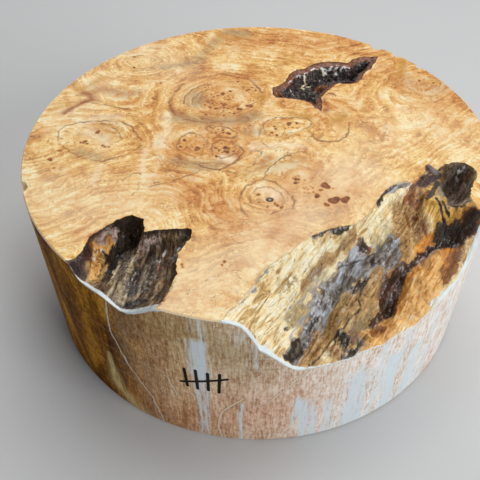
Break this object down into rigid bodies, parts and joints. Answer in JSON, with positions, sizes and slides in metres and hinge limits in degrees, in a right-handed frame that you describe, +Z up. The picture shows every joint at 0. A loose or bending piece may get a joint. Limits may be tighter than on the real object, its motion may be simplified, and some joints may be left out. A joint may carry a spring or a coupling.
{
  "type": "maple burl turning blank",
  "caption": "Round sawn disc of figured maple burl for wood turning, with natural bark hollows broken into its top face and rim.",
  "frame": {"origin": "centre of the flat base, on the surface that the blank rests on", "axes": "+Z up, out of the sawn top face; +X to the right and +Y to the back, with the large hollow at the right front"},
  "size_m": [0.254, 0.254, 0.1016],
  "materials": {
    "maple_burl": "planed and sanded pale maple burl, with dark glossy bark in the hollows and a thin coat of wax on the wall"
  },
  "bodies": {
    "root": {"burl_blank": "maple_burl"}
  },
  "joints": []
}
